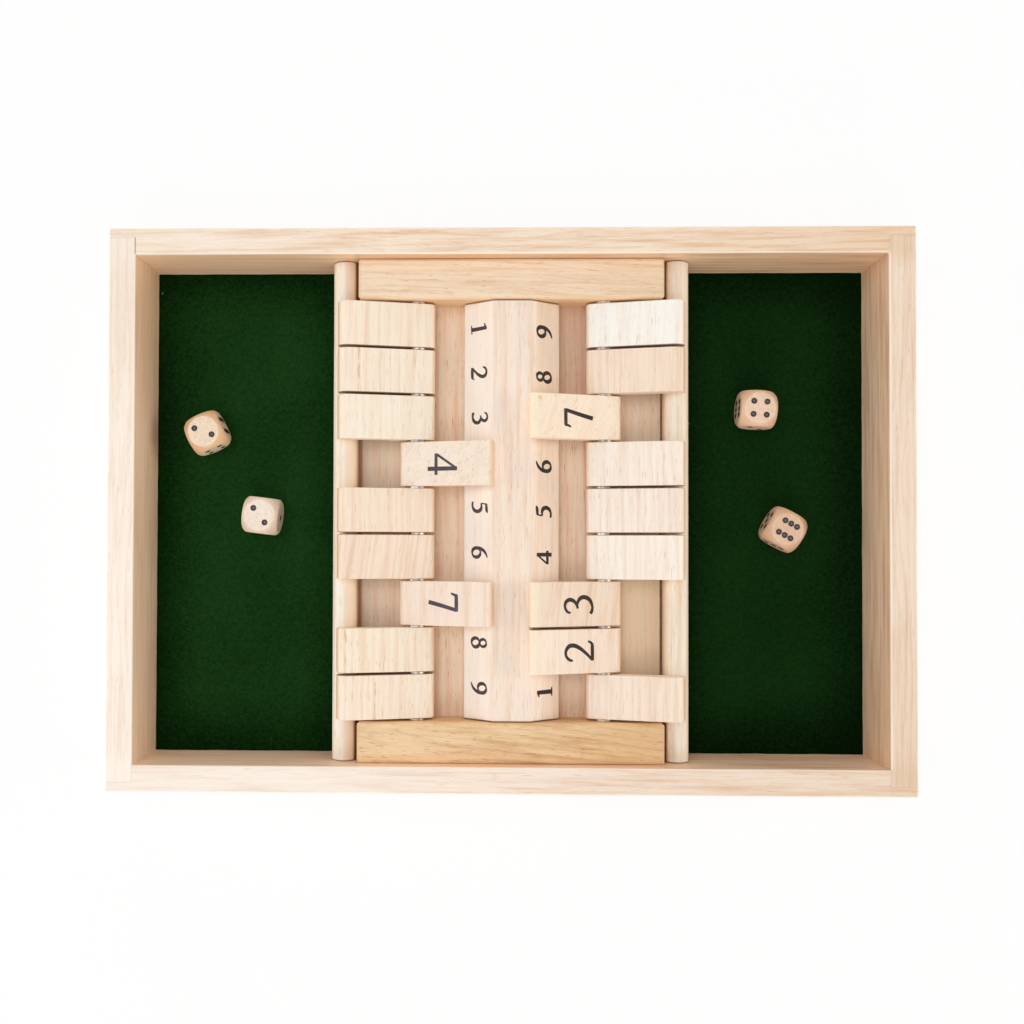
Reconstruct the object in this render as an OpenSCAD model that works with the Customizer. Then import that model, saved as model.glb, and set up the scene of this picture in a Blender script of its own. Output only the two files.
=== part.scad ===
// Shut the box game for several players: an open wooden box with a felt dice
// tray at each end and, across its middle, two facing rows of nine hinged flaps
// that fold over onto a shared, sloped number bar. Four wooden dice lie loose.
// Millimetres. X runs along the box, Y across it from front to back, Z is up;
// the origin is the centre of the box's underside.

/* [Box] */
// Outer length of the box
box_length = 341; // [325:1:380]
// Height of the box walls
box_height = 40; // [40:0.5:50]
// Thickness of the four walls
wall = 11.4; // [10.5:0.1:12]
// Thickness of the rail's lip that covers the end of each side board
corner_lip = 4.3; // [3:0.1:5]
// Rounding of the walls' top edges
edge_round = 1; // [0.5:0.1:1.5]
// Rounding of the box's four upright corners
corner_round = 1.6; // [0.6:0.1:2]

/* [Base and felt] */
// Height of the base panel's underside above the ground
base_lift = 3; // [2:0.1:4]
// Thickness of the base panel
base_thickness = 4; // [3:0.1:4.5]
// Depth of the groove in the walls that holds the base panel
groove_depth = 4; // [3:0.1:5]
// Gap between the base panel's edge and the bottom of its groove
panel_edge_gap = 0.2; // [0.1:0.05:0.5]
// Thickness of the felt in the dice trays
felt_thickness = 1; // [0.8:0.1:1.2]
// Gap between the felt's edge and the walls around it
felt_wall_gap = 0.1; // [0.1:0.1:1.5]
// Gap between the felt's edge and the deck board
felt_deck_gap = 3; // [0.3:0.1:4]

/* [Middle deck] */
// How far the middle unit sits to the right of the box's centre
unit_shift = 0.85; // [-2:0.05:2]
// How far the deck board reaches beyond the bearing blocks at each side
deck_overhang = 0.9; // [0.4:0.05:1]
// How far the deck board was glued to the left of the middle unit's centre
deck_slip = 0.35; // [0:0.05:0.4]
// Thickness of the deck board
deck_thickness = 11; // [10.6:0.1:11.2]

/* [Rest dowels] */
// Diameter of the dowel that the open flaps rest on
dowel_diameter = 11.2; // [10:0.1:11.4]
// Distance of each rest dowel's axis from the rod that its row of flaps turns on
dowel_reach = 31.3; // [30.5:0.1:32]
// Height of the rest dowels' axes above the deck board
dowel_lift = 5.56; // [5:0.02:6]
// Chamfer around the dowels' ends
dowel_chamfer = 0.5; // [0.2:0.1:1]
// Diameter of the tenon on each end of a rest dowel
tenon_diameter = 6; // [4:0.1:8]
// Length of the tenon in the rail
tenon_length = 5; // [3:0.1:6]
// Glue room around the tenon and behind it
tenon_gap = 0.1; // [0.05:0.05:0.3]

/* [Bearing blocks] */
// Gap between each end of a bearing block and the rest dowel beside it
block_dowel_gap = 0.45; // [0.3:0.05:2]
// Depth of a bearing block from the rail inwards
block_depth = 17.7; // [15:0.1:20]
// Height of a bearing block above the deck board
block_height = 15.2; // [13:0.1:17]
// Rounding of the blocks' top edges
block_edge_round = 1.5; // [0.5:0.1:2.5]
// Rounding of the blocks' upright corners
block_corner_round = 2; // [1:0.1:3]

/* [Number bar] */
// Width of the number bar
bar_width = 41.3; // [38:0.1:43]
// Height of the number bar's flat top above the deck board
bar_height = 15; // [14:0.1:15.2]
// Width of the flat along the top, between the bar's two sloping faces
bar_flat_width = 16.4; // [14:0.1:18]
// Height of the number bar's upright sides above the deck board
bar_side_height = 6.4; // [6:0.1:8]
// How far the number bar was glued to the right of the middle unit's centre
bar_slip = 0.6; // [0:0.05:0.8]
// Gap between the number bar's ends and the bearing blocks
bar_end_gap = 0.3; // [0.1:0.1:1]

/* [Flap hinges] */
// Diameter of the steel rods that the flaps turn on
rod_diameter = 3; // [2.5:0.1:3.4]
// Distance of each rod from the unit's centre line
pivot_offset = 40.4; // [40:0.1:41]
// Height of the rods above the deck board
pivot_lift = 8.1; // [8:0.02:8.3]
// How far the rods reach into each bearing block
rod_socket_depth = 10; // [6:0.1:12]
// Room between a rod and the wall of its socket
rod_socket_gap = 0.02; // [0.01:0.01:0.05]
// Radial running clearance between a rod and a flap's bore
bore_gap = 0.06; // [0.03:0.01:0.1]
// Outer diameter of the washers between the flaps
washer_diameter = 7.2; // [6:0.1:7.4]
// Thickness of a washer
washer_thickness = 0.8; // [0.5:0.05:0.85]
// Room between a washer's hole and its rod
washer_gap = 0.1; // [0.05:0.01:0.2]
// Width of the gap between neighbouring flaps, where a washer sits
flap_gap = 1; // [0.9:0.05:1.3]

/* [Flaps] */
// Width of one flap along its rod
flap_width = 19; // [18:0.1:20.5]
// Thickness of a flap
flap_thickness = 7.6; // [7.2:0.05:7.8]
// Distance from the rod to the tip of a flap's nose
nose_reach = 34.5; // [33.6:0.1:35]
// Distance from the rod to the end of a flap's tail
tail_reach = 7.6; // [6.5:0.05:7.7]
// Rounding of the nose's edge on the plain face, which faces down when the flap is shut
nose_round = 5; // [3:0.1:5.5]
// Rounding of the nose's edge on the numbered face
nose_edge_round = 1; // [0.5:0.1:1.6]
// Rounding of the tail's two edges
tail_round = 3.6; // [2.8:0.1:3.6]
// Gap left between a resting flap and what it rests on
stop_gap = 0.2; // [0.1:0.05:0.4]

/* [Dice] */
// Edge length of a die
die_size = 16; // [15:0.1:16.5]
// Radius of the ball that a die's edges and corners are turned to
die_ball_radius = 10.5; // [10.2:0.1:11.2]
// Distance of the pips from the middle of a face along each edge direction
pip_offset = 2.85; // [2.6:0.05:3.2]
// Radius of a pip at the die's face
pip_radius = 1.25; // [0.9:0.05:1.3]
// Depth of a pip
pip_depth = 0.45; // [0.3:0.05:0.8]
// Gap left under a loose die
die_gap = 0.02; // [0.01:0.01:0.1]
// Where the first die lies: from the left side board, then back from the box's middle line
die_1_place = [25.1, 34.7];
// Where the second die lies, measured in the same way
die_2_place = [50, -2.1];
// Where the third die lies: from the right side board, then back from the middle line
die_3_place = [49.65, 45.05];
// Where the fourth die lies, measured in the same way
die_4_place = [37.9, -7.75];
// Which way the first die has come to rest, as turns about X, Y and Z
die_1_turn = [0, -90, 25.7];
// Which way the second die has come to rest
die_2_turn = [0, -90, 173];
// Which way the third die has come to rest
die_3_turn = [-90, 0, -93.6];
// Which way the fourth die has come to rest
die_4_turn = [180, 0, -29.9];

/* [Hidden] */
$fn = 64;
cut_over = 1;
flap_count = 9;
flap_pitch = flap_width + flap_gap;
flap_row = flap_count * flap_width + (flap_count + 1) * flap_gap;
inner_width = flap_row + 2 * block_depth;
inner_length = box_length - 2 * wall;
box_width = inner_width + 2 * wall;
side_length = box_width - 2 * corner_lip;
base_top = base_lift + base_thickness;
felt_top = base_top + felt_thickness;
deck_top = base_top + deck_thickness;
dowel_z = deck_top + dowel_lift;
pivot_z = deck_top + pivot_lift;
rod_radius = rod_diameter / 2;
rod_length = flap_row + 2 * rod_socket_depth;
dowel_radius = dowel_diameter / 2;
dowel_offset = pivot_offset + dowel_reach;
block_length = 2 * (dowel_offset - dowel_radius - block_dowel_gap);
deck_width = block_length + 2 * deck_overhang;
deck_middle = unit_shift - deck_slip;

// Slope of an open flap whose underside rests on the dowel.
dowel_drop = pivot_z - dowel_z;
open_slope = asin((flap_thickness / 2 + dowel_radius + stop_gap) / norm([dowel_reach, dowel_drop]))
    - atan2(dowel_drop, dowel_reach);
// The bar's sloping faces, the height of a rod over the plane of the face beside it, and
// the middle of a flap's rounded nose edge as seen from the rod.
face_slope = atan2(bar_height - bar_side_height, (bar_width - bar_flat_width) / 2);
rod_over_face = (pivot_offset - bar_width / 2) * sin(face_slope)
    + (pivot_lift - bar_side_height) * cos(face_slope);
nose_centre = [nose_reach - nose_round, nose_round - flap_thickness / 2];
// Slope of a shut flap whose rounded nose edge rests on the face; side is -1 at the left.
function shut_slope(side) = face_slope - atan2(nose_centre[1], nose_centre[0])
    - asin((rod_over_face - side * bar_slip * sin(face_slope) - nose_round - stop_gap)
        / norm(nose_centre));

// The flaps that are shut over the number bar, by number; the others are open.
left_shut = [4, 7];
right_shut = [2, 3, 7];

// Ball that cuts a shallow pip of the chosen radius and depth.
pip_ball = (pow(pip_radius, 2) + pow(pip_depth, 2)) / (2 * pip_depth);
pip_corners = [for (a = [-1, 1], b = [-1, 1]) [a * pip_offset, b * pip_offset]];
pip_diagonal = [[-pip_offset, -pip_offset], [pip_offset, pip_offset]];

// Rectangle on the X axis with its two upper corners rounded.
module round_top(width, height, radius) {
    translate([-width / 2, 0]) square([width, height - radius]);
    translate([radius - width / 2, 0]) square([width - 2 * radius, height]);
    for (side = [-1, 1])
        translate([side * (width / 2 - radius), height - radius]) circle(r = radius);
}

// Rectangle about the origin with all four corners rounded.
module round_all(width, height, radius) {
    square([width, height - 2 * radius], center = true);
    square([width - 2 * radius, height], center = true);
    for (side = [-1, 1], end = [-1, 1])
        translate([side * (width / 2 - radius), end * (height / 2 - radius)]) circle(r = radius);
}

// Long rail at the back, with a rabbet at each end, the panel groove and two dowel sockets.
module back_rail_shape() {
    difference() {
        intersection() {
            translate([0, box_width / 2, 0]) rotate([90, 0, 0])
                linear_extrude(wall) round_top(box_length, box_height, edge_round);
            translate([-box_length / 2, (inner_width + wall) / 2, 0]) rotate([90, 0, 90])
                linear_extrude(box_length) round_top(wall, box_height, edge_round);
            translate([0, inner_width / 2, 0])
                linear_extrude(box_height) round_top(box_length, wall, corner_round);
        }
        for (side = [-1, 1])
            translate([side * (inner_length + wall + cut_over) / 2, inner_width / 2, box_height / 2])
                cube([wall + cut_over, 2 * (wall - corner_lip), box_height + cut_over], center = true);
        translate([-inner_length / 2 - cut_over, inner_width / 2 - cut_over, base_lift])
            cube([inner_length + 2 * cut_over, groove_depth + cut_over, base_thickness]);
        for (side = [-1, 1])
            translate([unit_shift + side * dowel_offset, inner_width / 2 - cut_over, dowel_z])
                rotate([-90, 0, 0])
                    cylinder(d = tenon_diameter + 2 * tenon_gap, h = tenon_length + tenon_gap + cut_over);
    }
}

module back_rail() {
    color([0.95, 0.85, 0.67]) back_rail_shape();
}

module front_rail() {
    color([0.94, 0.83, 0.64]) mirror([0, 1, 0]) back_rail_shape();
}

// Side board at the right, let in behind the lips of the two rails.
module right_side_shape() {
    inner_edge = inner_length / 2;
    difference() {
        translate([inner_edge, side_length / 2, 0]) rotate([90, 0, 0])
            linear_extrude(side_length) {
                square([wall, box_height - edge_round]);
                square([wall - edge_round, box_height]);
                translate([wall - edge_round, box_height - edge_round]) circle(r = edge_round);
            }
        translate([inner_edge, inner_width / 2, box_height]) rotate([90, 0, 0])
            linear_extrude(inner_width) difference() {
                square(2 * edge_round, center = true);
                translate([edge_round, -edge_round]) circle(r = edge_round);
            }
        translate([inner_edge - cut_over, -side_length / 2 - cut_over, base_lift])
            cube([groove_depth + cut_over, side_length + 2 * cut_over, base_thickness]);
    }
}

module right_side() {
    color([0.93, 0.82, 0.63]) right_side_shape();
}

module left_side() {
    color([0.94, 0.84, 0.66]) mirror([1, 0, 0]) right_side_shape();
}

// Panel that floats in the grooves of all four walls.
module base_panel() {
    reach = 2 * (groove_depth - panel_edge_gap);
    color([0.86, 0.72, 0.52])
        translate([0, 0, base_lift + base_thickness / 2])
            cube([inner_length + reach, inner_width + reach, base_thickness], center = true);
}

// Felt glued into a dice tray, from the end wall to the deck board; side is -1 at the left.
module felt(side) {
    wall_edge = inner_length / 2 - felt_wall_gap;
    deck_edge = deck_width / 2 + felt_deck_gap + side * deck_middle;
    middle = side * (wall_edge + deck_edge) / 2;
    color([0.07, 0.21, 0.08])
        translate([middle, 0, base_top + felt_thickness / 2])
            cube([wall_edge - deck_edge, inner_width - 2 * felt_wall_gap, felt_thickness], center = true);
}

// Board across the middle of the box that carries the blocks, the bar and the flaps.
module deck_board() {
    color([0.88, 0.74, 0.58])
        translate([deck_middle, 0, base_top + deck_thickness / 2])
            cube([deck_width, inner_width, deck_thickness], center = true);
}

// Dowel that the open flaps rest on, with a turned tenon in each rail; side is -1 at the left.
module rest_dowel(side) {
    half = inner_width / 2;
    tenon_radius = tenon_diameter / 2;
    shoulder = dowel_radius - dowel_chamfer;
    color([0.95, 0.87, 0.74])
        translate([unit_shift + side * dowel_offset, 0, dowel_z]) rotate([90, 0, 0])
            rotate_extrude() polygon([
                [0, -half - tenon_length], [tenon_radius, -half - tenon_length],
                [tenon_radius, -half], [shoulder, -half],
                [dowel_radius, -half + dowel_chamfer], [dowel_radius, half - dowel_chamfer],
                [shoulder, half], [tenon_radius, half],
                [tenon_radius, half + tenon_length], [0, half + tenon_length]
            ]);
}

// Block that holds one end of both rods; end is 1 at the back and -1 at the front.
module bearing_block_shape(end) {
    middle = end * (inner_width - block_depth) / 2;
    difference() {
        translate([unit_shift, middle, deck_top]) intersection() {
            translate([0, block_depth / 2, 0]) rotate([90, 0, 0])
                linear_extrude(block_depth) round_top(block_length, block_height, block_edge_round);
            translate([-block_length / 2, 0, 0]) rotate([90, 0, 90])
                linear_extrude(block_length) round_top(block_depth, block_height, block_edge_round);
            linear_extrude(block_height) round_all(block_length, block_depth, block_corner_round);
        }
        for (side = [-1, 1])
            translate([unit_shift + side * pivot_offset, 0, pivot_z]) rotate([90, 0, 0])
                cylinder(r = rod_radius + rod_socket_gap, h = rod_length, center = true);
    }
}

module back_bearing_block() {
    color([0.95, 0.85, 0.70]) bearing_block_shape(1);
}

module front_bearing_block() {
    color([0.93, 0.80, 0.62]) bearing_block_shape(-1);
}

// Bar between the two rows, planed to a flat top and two sloping faces. It is printed
// with the numbers, and the shut flaps strike its sloping faces.
module number_bar() {
    bar_length = flap_row - 2 * bar_end_gap;
    half = bar_width / 2;
    flat_half = bar_flat_width / 2;
    color([0.94, 0.86, 0.78])
        translate([unit_shift + bar_slip, bar_length / 2, deck_top]) rotate([90, 0, 0])
            linear_extrude(bar_length) polygon([
                [-half, 0], [half, 0], [half, bar_side_height],
                [flat_half, bar_height], [-flat_half, bar_height], [-half, bar_side_height]
            ]);
}

// Steel rod through one row of flaps; side is -1 at the left.
module pivot_rod(side) {
    color([0.66, 0.65, 0.62])
        translate([unit_shift + side * pivot_offset, 0, pivot_z]) rotate([90, 0, 0])
            cylinder(r = rod_radius, h = rod_length, center = true);
}

// Washers on one rod, one in every gap beside and between the flaps.
module washers(side) {
    color([0.72, 0.71, 0.68])
        for (k = [0:flap_count])
            translate([unit_shift + side * pivot_offset, (k - flap_count / 2) * flap_pitch, pivot_z])
                rotate([90, 0, 0]) difference() {
                    cylinder(d = washer_diameter, h = washer_thickness, center = true);
                    cylinder(r = rod_radius + washer_gap, h = cut_over, center = true);
                }
}

// Side view of a flap: the rod is at the origin, the nose points along X and the
// numbered face is up.
module flap_profile() {
    half = flap_thickness / 2;
    nose_start = nose_reach - nose_round;
    tail_end = tail_round - tail_reach;
    intersection() {
        translate([-tail_reach, -half]) square([nose_reach + tail_reach, flap_thickness]);
        union() {
            translate([tail_end, -half]) square([nose_start - tail_end, flap_thickness]);
            translate([-tail_reach, tail_round - half])
                square([tail_round, flap_thickness - 2 * tail_round]);
            translate([nose_start, nose_round - half])
                square([nose_round - nose_edge_round, flap_thickness - nose_round]);
            translate([nose_start, nose_round - half])
                square([nose_round, flap_thickness - nose_round - nose_edge_round]);
            translate([nose_start, nose_round - half]) circle(r = nose_round);
            translate([nose_reach - nose_edge_round, half - nose_edge_round]) circle(r = nose_edge_round);
            for (face = [-1, 1]) translate([tail_end, face * (half - tail_round)]) circle(r = tail_round);
        }
    }
}

// Flap of the left row at a place along its rod, open with its nose on the dowel or shut
// on the bar; for the right row it is mirrored, and side is then 1.
module flap_shape(place, is_shut, side) {
    turn = is_shut ? -shut_slope(side) : 180 + open_slope;
    translate([-pivot_offset, place, pivot_z]) rotate([0, turn, 0]) rotate([90, 0, 0])
        difference() {
            translate([0, 0, -flap_width / 2]) linear_extrude(flap_width) flap_profile();
            cylinder(r = rod_radius + bore_gap, h = flap_width + cut_over, center = true);
        }
}

left_tones = [
    [0.96, 0.89, 0.76], [0.95, 0.86, 0.77], [0.97, 0.90, 0.78], [0.95, 0.87, 0.70], [0.96, 0.88, 0.72],
    [0.93, 0.80, 0.66], [0.95, 0.87, 0.78], [0.95, 0.86, 0.68], [0.95, 0.87, 0.70]
];
right_tones = [
    [0.95, 0.86, 0.77], [0.95, 0.87, 0.76], [0.93, 0.82, 0.68], [0.95, 0.87, 0.77], [0.94, 0.84, 0.76],
    [0.96, 0.89, 0.82], [0.95, 0.87, 0.71], [0.92, 0.79, 0.66], [0.97, 0.91, 0.80]
];

// The left row counts from the back, so flap 1 is the one nearest the back rail.
module left_flap(k) {
    color(left_tones[k - 1]) translate([unit_shift, 0, 0])
        flap_shape(((flap_count + 1) / 2 - k) * flap_pitch, len(search(k, left_shut)) > 0, -1);
}

// The right row counts the other way, so its flap 1 is nearest the front rail.
module right_flap(k) {
    color(right_tones[k - 1]) translate([unit_shift, 0, 0]) mirror([1, 0, 0])
        flap_shape((k - (flap_count + 1) / 2) * flap_pitch, len(search(k, right_shut)) > 0, 1);
}

// Cutters for the pips of one face, on the upper side of the die.
module pips(places) {
    for (p = places)
        translate([p[0], p[1], die_size / 2 + pip_ball - pip_depth]) sphere(r = pip_ball);
}

// Die with 1 on top, 2 to the right, 3 at the back and opposite faces adding up to 7;
// side is -1 in the left tray.
module die(side, place, turn) {
    wall_gap = inner_length / 2 - place[0];
    color([0.93, 0.81, 0.66])
        translate([side * wall_gap, place[1], felt_top + die_gap + die_size / 2]) rotate(turn)
            difference() {
                intersection() {
                    cube(die_size, center = true);
                    sphere(r = die_ball_radius);
                }
                pips([[0, 0]]);
                rotate([0, 90, 0]) pips([for (p = pip_diagonal) [-p[0], p[1]]]);
                rotate([-90, 0, 0]) pips(concat(pip_diagonal, [[0, 0]]));
                rotate([90, 0, 0]) pips(pip_corners);
                rotate([0, -90, 0]) pips(concat(pip_corners, [[0, 0]]));
                rotate([180, 0, 0]) pips(concat(pip_corners, [[0, -pip_offset], [0, pip_offset]]));
            }
}

back_rail();
front_rail();
left_side();
right_side();
base_panel();
felt(-1);  // left_felt
felt(1);  // right_felt
deck_board();
rest_dowel(-1);  // left_rest_dowel
rest_dowel(1);  // right_rest_dowel
back_bearing_block();
front_bearing_block();
number_bar();
pivot_rod(-1);  // left_pivot_rod
pivot_rod(1);  // right_pivot_rod
washers(-1);  // left_washers
washers(1);  // right_washers
for (k = [1:flap_count]) left_flap(k);
for (k = [1:flap_count]) right_flap(k);
die(-1, die_1_place, die_1_turn);  // die_1
die(-1, die_2_place, die_2_turn);  // die_2
die(1, die_3_place, die_3_turn);  // die_3
die(1, die_4_place, die_4_turn);  // die_4
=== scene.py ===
import bpy
import numpy as np
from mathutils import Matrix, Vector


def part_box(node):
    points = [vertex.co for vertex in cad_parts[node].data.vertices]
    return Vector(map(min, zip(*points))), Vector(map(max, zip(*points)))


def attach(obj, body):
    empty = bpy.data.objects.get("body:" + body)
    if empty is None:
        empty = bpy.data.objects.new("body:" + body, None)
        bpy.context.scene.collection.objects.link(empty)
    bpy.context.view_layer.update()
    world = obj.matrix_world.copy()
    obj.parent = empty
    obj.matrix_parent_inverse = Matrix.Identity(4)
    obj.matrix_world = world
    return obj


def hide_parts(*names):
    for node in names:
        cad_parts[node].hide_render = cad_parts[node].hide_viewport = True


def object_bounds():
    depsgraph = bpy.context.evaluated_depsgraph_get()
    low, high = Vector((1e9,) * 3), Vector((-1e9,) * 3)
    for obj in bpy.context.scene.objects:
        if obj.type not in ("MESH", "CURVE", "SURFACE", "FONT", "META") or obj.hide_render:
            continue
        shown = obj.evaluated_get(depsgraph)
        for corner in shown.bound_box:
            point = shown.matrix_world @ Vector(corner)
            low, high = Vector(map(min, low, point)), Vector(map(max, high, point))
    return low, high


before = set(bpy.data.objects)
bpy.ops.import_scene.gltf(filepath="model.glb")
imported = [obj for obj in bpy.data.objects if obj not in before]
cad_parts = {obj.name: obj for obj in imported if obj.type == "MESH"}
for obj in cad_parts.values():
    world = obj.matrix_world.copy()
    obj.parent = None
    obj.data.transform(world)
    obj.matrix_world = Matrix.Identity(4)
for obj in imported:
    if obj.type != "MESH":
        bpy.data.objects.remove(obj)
cad_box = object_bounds()

# Box walls: four pale rubberwood boards, planed, eased at the edges and glued at
# rabbeted corners, with a thin clear satin finish. The joint lines show as fine
# dark seams on the top edges.


class Wire:
    """One shader socket. Arithmetic on wires adds the Math nodes for it."""

    def __init__(self, finish, socket):
        self.finish, self.socket = finish, socket

    def work(self, operation, other=0.0):
        return self.finish.node("Math", {"operation": operation}, {0: self, 1: other})

    def __add__(self, other): return self.work("ADD", other)
    def __radd__(self, other): return self.work("ADD", other)
    def __sub__(self, other): return self.work("SUBTRACT", other)
    def __mul__(self, other): return self.work("MULTIPLY", other)
    def __truediv__(self, other): return self.work("DIVIDE", other)
    def __pow__(self, other): return self.work("POWER", other)
    def __abs__(self): return self.work("ABSOLUTE")

    def least(self, other): return self.work("MINIMUM", other)
    def most(self, other): return self.work("MAXIMUM", other)
    def rest(self): return self.work("FRACT")

    def fade(self, start, end):
        """Smooth step that is 0 at start and 1 at end; start may be the larger."""
        low, high, a, b = (start, end, 0.0, 1.0) if start < end else (end, start, 1.0, 0.0)
        return self.finish.node("MapRange", {"interpolation_type": "SMOOTHSTEP"},
                                {0: self, 1: low, 2: high, 3: a, 4: b})


class Finish:
    """A material being built: one Principled shader and the nodes that feed it."""

    def __init__(self, name, **fixed):
        self.material = bpy.data.materials.new(name)
        self.material.use_nodes = True
        self.tree = self.material.node_tree
        self.shader = self.tree.nodes["Principled BSDF"]
        for socket, value in fixed.items():
            self.shader.inputs[socket.replace("_", " ")].default_value = value

    def node(self, kind, settings=None, sockets=None, out=0):
        """Adds a shader node: its settings first, then its sockets' values or links."""
        made = self.tree.nodes.new("ShaderNode" + kind)
        for key, value in (settings or {}).items():
            if key == "stops":
                ends = made.color_ramp.elements
                ends[0].position, ends[0].color = value[0]
                ends[1].position, ends[1].color = value[-1]
                for place, colour in value[1:-1]:
                    ends.new(place).color = colour
            else:
                setattr(made, key, value)
        for key, value in (sockets or {}).items():
            if isinstance(value, Wire):
                self.tree.links.new(value.socket, made.inputs[key])
            else:
                made.inputs[key].default_value = value
        return Wire(self, made.outputs[out])

    def spot(self):
        """The object's own coordinates."""
        return self.node("TexCoord", out=3)

    def parts(self, vector):
        """A vector's three numbers as wires."""
        split = self.node("SeparateXYZ", sockets={0: vector})
        return [Wire(self, socket) for socket in split.socket.node.outputs]

    def blend(self, mask, first, second):
        """First colour where the mask is 0, second where it is 1."""
        return self.node("Mix", {"data_type": "RGBA"}, {0: mask, 6: first, 7: second}, out=2)

    def noise(self, vector, scale, detail=2.0, roughness=0.5):
        """Noise from 0 to 1; scale is one number, or three that stretch it along the axes."""
        if isinstance(scale, tuple):
            vector = self.node("VectorMath", {"operation": "MULTIPLY"}, {0: vector, 1: scale})
            scale = 1.0
        return self.node("TexNoise", None,
                         {"Vector": vector, "Scale": scale, "Detail": detail, "Roughness": roughness})

    def distance(self, vector, place):
        """A vector's distance from a place."""
        return self.node("VectorMath", {"operation": "DISTANCE"}, {0: vector, 1: place}, out=1)

    def feed(self, **wires):
        """Links wires to the Principled shader's sockets."""
        for socket, wire in wires.items():
            self.tree.links.new(wire.socket, self.shader.inputs[socket.replace("_", " ")])

    def bump(self, height, depth, strength=1.0):
        """Feeds the shader's normal from a height map; depth is in metres."""
        self.feed(Normal=self.node("Bump", None, {"Height": height, "Distance": depth, "Strength": strength}))


def paint(red, green, blue):
    """A screen colour from 0 to 255 as the linear colour that a shader takes."""
    value = np.array([red, green, blue]) / 255
    return (*(np.where(value < 0.04045, value / 12.92, ((value + 0.055) / 1.055) ** 2.4).tolist()), 1.0)


def wood(name, pale, dark, along, seed, streak_show=0.5, ring_gap=0.0034, ring_show=0.2,
         fibre_show=0.4, cloud_show=0.35, vessel_show=0.45, vessel=(206, 152, 84), slant=0.0,
         lean=0.02, wander=6, sway_show=5.0, heart=None, marks=None, shine=0.46):
    """
    Sawn rubberwood as a solid pattern. Soft streaks, fine fibres and short brown vessel
    lines are noise stretched along the grain's axis; growth rings are shells about a pith
    line that leans a little from it, swayed by noise that wanders so many times a metre.
    heart is the pith line's place across the grain and its height, if the seed isn't to
    draw it. marks returns pairs of a mask and a colour that are laid on last.
    """
    finish = Finish(name, Specular_IOR_Level=0.42)
    spot = finish.spot()
    draw = np.random.default_rng(seed)
    pith = draw.uniform([-0.02, -0.02, 0.018], [0.02, 0.02, 0.05])
    turn = (lean * (along == 1), -lean * (along == 0), slant)
    shift = draw.uniform(-0.05, 0.05, 3)
    turned = finish.node("Mapping", None, {"Vector": spot, "Location": tuple(shift), "Rotation": turn})

    def stretched(with_grain, across):
        return tuple(with_grain if axis == along else across for axis in range(3))

    axes = finish.parts(turned)
    across, down = ((1, 2), (0, 2), (0, 1))[along]
    pith = (pith[0], -pith[2]) if heart is None else (shift[across] + heart[0], shift[down] + heart[1])
    beside, below = axes[across] - pith[0], axes[down] - pith[1]
    sway = finish.noise(turned, stretched(wander, 75), 3)
    shell = (beside * beside + below * below) ** 0.5 / ring_gap
    rings = finish.node("ValToRGB", {"stops": [
        (0.0, (0, 0, 0, 1)), (0.5, (0.18, 0.18, 0.18, 1)), (0.82, (1, 1, 1, 1)), (0.97, (0, 0, 0, 1))]},
        {0: (shell + sway * sway_show).rest()})
    streak = finish.noise(turned, stretched(wander + 8, 480), 4, 0.62).fade(0.42, 0.72)
    fibre = finish.noise(turned, stretched(60, 2300), 3, 0.6)
    cloud = finish.noise(turned, stretched(14, 70))
    vessels = finish.noise(turned, stretched(150, 3000), 1, 0.4).fade(0.64, 0.75)
    tone = streak * streak_show + rings * ring_show + (fibre - 0.5) * fibre_show + (cloud - 0.45) * cloud_show
    colour = finish.blend(tone.most(0.0).least(1.0), paint(*pale), paint(*dark))
    colour = finish.blend(vessels * vessel_show, colour, paint(*vessel))
    if marks:
        for mask, stain in marks(finish, spot):
            colour = finish.blend(mask, colour, paint(*stain))
    finish.feed(Base_Color=colour, Roughness=(fibre - 0.5) * 0.25 + vessels * 0.12 + shine)
    finish.bump(fibre * 0.6 + rings * 0.2 - vessels * 0.25, 0.00006, 0.5)
    return finish.material


# Half sizes of the box and of its inside, and where the rail's lip ends.
box_half = np.array(cad_box[1])[:2]
wall = 0.0114
lip_edge = box_half[1] - 0.0043
inner_half = box_half - wall


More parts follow.
